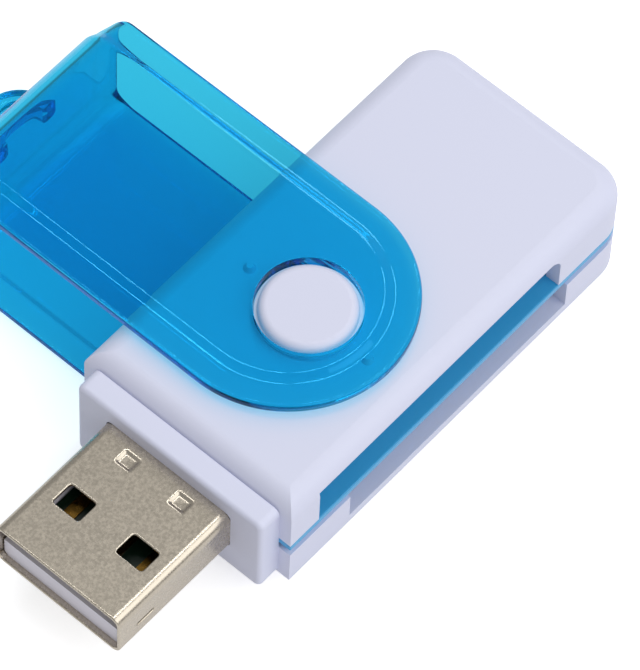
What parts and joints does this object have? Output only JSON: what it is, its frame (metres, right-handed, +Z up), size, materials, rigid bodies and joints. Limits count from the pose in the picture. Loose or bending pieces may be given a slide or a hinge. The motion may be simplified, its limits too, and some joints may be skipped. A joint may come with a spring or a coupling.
{
  "type": "usb memory card reader",
  "caption": "Pocket memory card reader with a USB-A plug, card slots along both long sides and a clear swivel cover that turns on the body to guard the plug.",
  "frame": {"origin": "on the cover's pivot axis, at the level of the surface that the reader lies on", "axes": "+X from the plug towards the rear of the body, -Y towards the side with the two wide card slots, +Z up along the pivot axis"},
  "size_m": [0.052, 0.0419, 0.0133],
  "materials": {
    "white_abs": "moulded white ABS, satin, slightly cool",
    "clear_blue": "clear blue moulded plastic, polished",
    "frame_blue": "moulded blue plastic",
    "plug_steel": "nickel-plated folded steel",
    "tongue_white": "moulded white insulator",
    "contact_gold": "gold-plated spring strip",
    "board_green": "solder-masked glass-fibre board",
    "chip_black": "moulded black epoxy package",
    "crystal_can": "pressed metal can",
    "led_clear": "clear moulded lens",
    "capacitor_tan": "fired ceramic",
    "resistor_black": "glazed thick film"
  },
  "bodies": {
    "reader_body": {"capacitor_1": "capacitor_tan", "capacitor_2": "capacitor_tan", "card_frame": "frame_blue", "circuit_board": "board_green", "controller_chip": "chip_black", "crystal": "crystal_can", "indicator_led": "led_clear", "lower_shell": "white_abs", "m2_contact_1": "contact_gold", "m2_contact_10": "contact_gold", "m2_contact_11": "contact_gold", "m2_contact_2": "contact_gold", "m2_contact_3": "contact_gold", "m2_contact_4": "contact_gold", "m2_contact_5": "contact_gold", "m2_contact_6": "contact_gold", "m2_contact_7": "contact_gold", "m2_contact_8": "contact_gold", "m2_contact_9": "contact_gold", "microsd_contact_1": "contact_gold", "microsd_contact_2": "contact_gold", "microsd_contact_3": "contact_gold", "microsd_contact_4": "contact_gold", "microsd_contact_5": "contact_gold", "microsd_contact_6": "contact_gold", "microsd_contact_7": "contact_gold", "microsd_contact_8": "contact_gold", "ms_contact_1": "contact_gold", "ms_contact_10": "contact_gold", "ms_contact_2": "contact_gold", "ms_contact_3": "contact_gold", "ms_contact_4": "contact_gold", "ms_contact_5": "contact_gold", "ms_contact_6": "contact_gold", "ms_contact_7": "contact_gold", "ms_contact_8": "contact_gold", "ms_contact_9": "contact_gold", "resistor_1": "resistor_black", "resistor_2": "resistor_black", "sd_contact_1": "contact_gold", "sd_contact_2": "contact_gold", "sd_contact_3": "contact_gold", "sd_contact_4": "contact_gold", "sd_contact_5": "contact_gold", "sd_contact_6": "contact_gold", "sd_contact_7": "contact_gold", "sd_contact_8": "contact_gold", "sd_contact_9": "contact_gold", "upper_shell": "white_abs", "usb_contact_1": "contact_gold", "usb_contact_2": "contact_gold", "usb_contact_3": "contact_gold", "usb_contact_4": "contact_gold", "usb_plug_shell": "plug_steel", "usb_plug_tongue": "tongue_white"},
    "cover": {"swivel_cover": "clear_blue"}
  },
  "joints": [
    {"name": "cover_swivel", "type": "hinge", "parent": "reader_body", "child": "cover", "pos_m": [0, 0, 0.00665], "axis": [0, 0, 1], "continuous": true}
  ]
}
